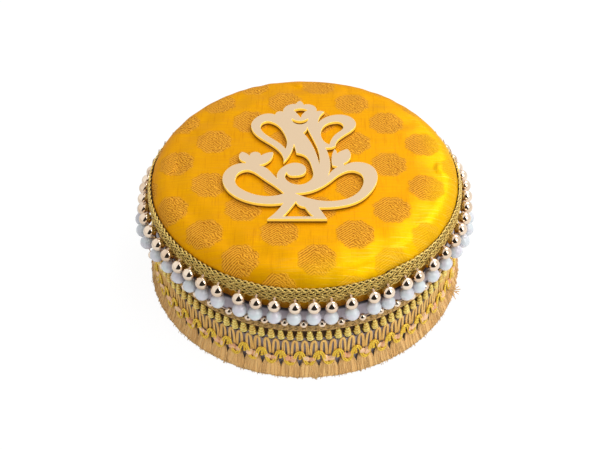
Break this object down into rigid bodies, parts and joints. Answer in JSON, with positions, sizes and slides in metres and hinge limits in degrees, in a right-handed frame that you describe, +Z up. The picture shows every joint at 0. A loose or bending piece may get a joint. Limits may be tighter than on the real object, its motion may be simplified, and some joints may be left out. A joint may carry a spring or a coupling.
{
  "type": "sweet box",
  "caption": "Round board box for sweets with a lift-off padded brocade lid, a cut-out emblem, hanging bead drops and a gold lace skirt.",
  "frame": {"origin": "centre of the underside, on the surface that the box stands on", "axes": "+Z up along the box's axis and the way the lid lifts; -Y is the front, where the emblem's foot points; +X is to the right"},
  "size_m": [0.1478, 0.1478, 0.06],
  "materials": {
    "base_paper": "kraft paper",
    "board": "grey board",
    "neck_board": "gold paper on board",
    "lining_paper": "gold paper",
    "silver_cloth": "silver tissue cloth",
    "zari_net": "metallic thread net",
    "zari_cord": "metallic gimp cord",
    "peach_sequin": "glossy",
    "fringe_thread": "cut metallic thread",
    "foam": "soft foam",
    "brocade": "silk brocade",
    "zari_braid": "metallic chain braid",
    "gold_bead": "gold plated",
    "pearl": "pearl",
    "gold_acrylic": "gold mirror sheet"
  },
  "bodies": {
    "base": {"underside": "base_paper", "base_floor": "board", "base_wall": "board", "neck_ring": "neck_board", "floor_lining": "lining_paper", "base_wrap": "silver_cloth", "lace_header": "zari_net", "lace_net": "zari_net", "lace_picots": "zari_cord", "lace_gimp": "zari_cord", "gimp_sequins": "peach_sequin", "fringe": "fringe_thread"},
    "lid": {"lid_wall": "board", "lid_top_board": "board", "lid_lining": "lining_paper", "lid_padding": "foam", "lid_cover": "brocade", "lid_braid": "zari_braid", "gold_beads": "gold_bead", "pearl_beads": "pearl", "spacer_beads": "gold_bead", "emblem": "gold_acrylic"}
  },
  "joints": [
    {"name": "lid_lift", "type": "slide", "parent": "base", "child": "lid", "axis": [0, 0, 1], "range_m": [0, 0.07]}
  ]
}
